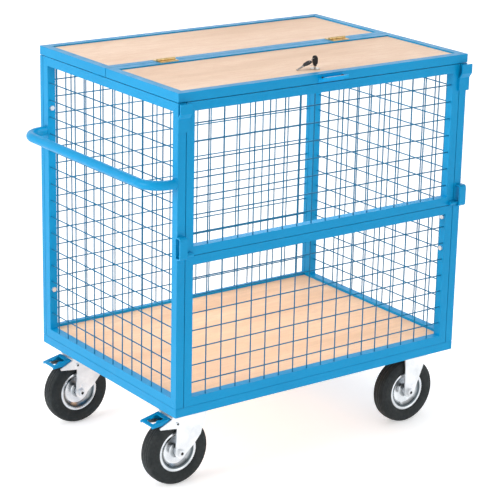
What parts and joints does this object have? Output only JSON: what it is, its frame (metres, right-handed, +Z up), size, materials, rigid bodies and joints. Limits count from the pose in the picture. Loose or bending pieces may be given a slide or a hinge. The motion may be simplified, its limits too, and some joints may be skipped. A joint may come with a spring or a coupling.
{
  "type": "mesh-sided security box truck",
  "caption": "Blue mesh-sided box truck on castors with a plywood deck, a hinged lockable plywood lid, a drop-down upper front gate and a tubular push handle.",
  "frame": {"origin": "centre of the bounding box's bottom face, on the floor", "axes": "+Z up; +X along the length, away from the push handle; -Y faces the gate"},
  "size_m": [1.093, 0.739, 1.1745],
  "materials": {
    "blue_paint": "semi-gloss powder coat",
    "plywood": "sanded beech-faced plywood",
    "brass": "brass-plated steel",
    "key_plastic": "moulded black",
    "tyre_rubber": "matte",
    "lock_steel": "nickel-plated",
    "zinc_plate": "bright zinc plate",
    "wheel_rim": "zinc-plated pressed disc"
  },
  "bodies": {
    "base": {"chassis_frame": "blue_paint", "castor_mount_plates": "blue_paint", "deck_board": "plywood", "left_end_frame": "blue_paint", "left_end_mesh": "blue_paint", "right_end_frame": "blue_paint", "right_end_mesh": "blue_paint", "back_frame": "blue_paint", "back_mesh": "blue_paint", "lower_front_frame": "blue_paint", "lower_front_mesh": "blue_paint", "rear_top_frame": "blue_paint", "rear_top_board": "plywood", "push_handle": "blue_paint", "gate_bracket_left": "blue_paint", "gate_bracket_right": "blue_paint", "frame_bolts": "zinc_plate", "castor_bolts": "zinc_plate", "hinge_left_fixed": "brass", "hinge_right_fixed": "brass", "swivel_top_fl": "zinc_plate", "swivel_top_bl": "zinc_plate", "fixed_fork_fr": "zinc_plate", "axle_fr": "zinc_plate", "fixed_fork_br": "zinc_plate", "axle_br": "zinc_plate"},
    "lid": {"lid_frame": "blue_paint", "lid_board": "plywood", "lid_pull": "blue_paint", "hinge_left_moving": "brass", "hinge_right_moving": "brass", "lock_body": "lock_steel"},
    "key": {"key_blade": "lock_steel", "key_bow": "key_plastic", "lock_cam": "lock_steel"},
    "key_ring_set": {"key_ring": "lock_steel", "spare_key_blade": "lock_steel", "spare_key_bow": "key_plastic"},
    "gate": {"gate_frame": "blue_paint", "gate_mesh": "blue_paint", "gate_ears": "blue_paint", "gate_pins": "blue_paint", "gate_strike": "blue_paint"},
    "swivel_fl": {"swivel_fork_fl": "zinc_plate", "axle_fl": "zinc_plate"},
    "pedal_fl": {"brake_pedal_fl": "blue_paint"},
    "wheel_fl": {"rim_fl": "wheel_rim", "tyre_fl": "tyre_rubber"},
    "swivel_bl": {"swivel_fork_bl": "zinc_plate", "axle_bl": "zinc_plate"},
    "pedal_bl": {"brake_pedal_bl": "blue_paint"},
    "wheel_bl": {"rim_bl": "wheel_rim", "tyre_bl": "tyre_rubber"},
    "wheel_fr": {"rim_fr": "wheel_rim", "tyre_fr": "tyre_rubber"},
    "wheel_br": {"rim_br": "wheel_rim", "tyre_br": "tyre_rubber"}
  },
  "joints": [
    {"name": "lid_hinge", "type": "hinge", "parent": "base", "child": "lid", "pos_m": [0.042, 0.012, 1.1442], "axis": [-1, 0, 0], "range_deg": [0, 160]},
    {"name": "gate_hinge", "type": "hinge", "parent": "base", "child": "gate", "pos_m": [0.042, -0.354, 0.699], "axis": [1, 0, 0], "range_deg": [0, 178]},
    {"name": "key_turn", "type": "hinge", "parent": "lid", "child": "key", "pos_m": [0.042, -0.273, 1.12], "axis": [0, 0, -1], "range_deg": [0, 90]},
    {"name": "key_ring_swing", "type": "hinge", "parent": "key", "child": "key_ring_set", "pos_m": [0.042, -0.273, 1.1675], "axis": [1, 0, 0], "range_deg": [0, 60]},
    {"name": "castor_swivel_fl", "type": "hinge", "parent": "base", "child": "swivel_fl", "pos_m": [-0.348, -0.256, 0.21], "axis": [0, 0, 1], "continuous": true},
    {"name": "wheel_spin_fl", "type": "hinge", "parent": "swivel_fl", "child": "wheel_fl", "pos_m": [-0.402, -0.256, 0.1], "axis": [0, 1, 0], "continuous": true},
    {"name": "brake_press_fl", "type": "hinge", "parent": "swivel_fl", "child": "pedal_fl", "pos_m": [-0.414, -0.256, 0.19], "axis": [0, -1, 0], "range_deg": [0, 12]},
    {"name": "castor_swivel_bl", "type": "hinge", "parent": "base", "child": "swivel_bl", "pos_m": [-0.348, 0.28, 0.21], "axis": [0, 0, 1], "continuous": true},
    {"name": "wheel_spin_bl", "type": "hinge", "parent": "swivel_bl", "child": "wheel_bl", "pos_m": [-0.402, 0.28, 0.1], "axis": [0, 1, 0], "continuous": true},
    {"name": "brake_press_bl", "type": "hinge", "parent": "swivel_bl", "child": "pedal_bl", "pos_m": [-0.414, 0.28, 0.19], "axis": [0, -1, 0], "range_deg": [0, 12]},
    {"name": "wheel_spin_fr", "type": "hinge", "parent": "base", "child": "wheel_fr", "pos_m": [0.432, -0.256, 0.1], "axis": [0, 1, 0], "continuous": true},
    {"name": "wheel_spin_br", "type": "hinge", "parent": "base", "child": "wheel_br", "pos_m": [0.432, 0.28, 0.1], "axis": [0, 1, 0], "continuous": true}
  ]
}
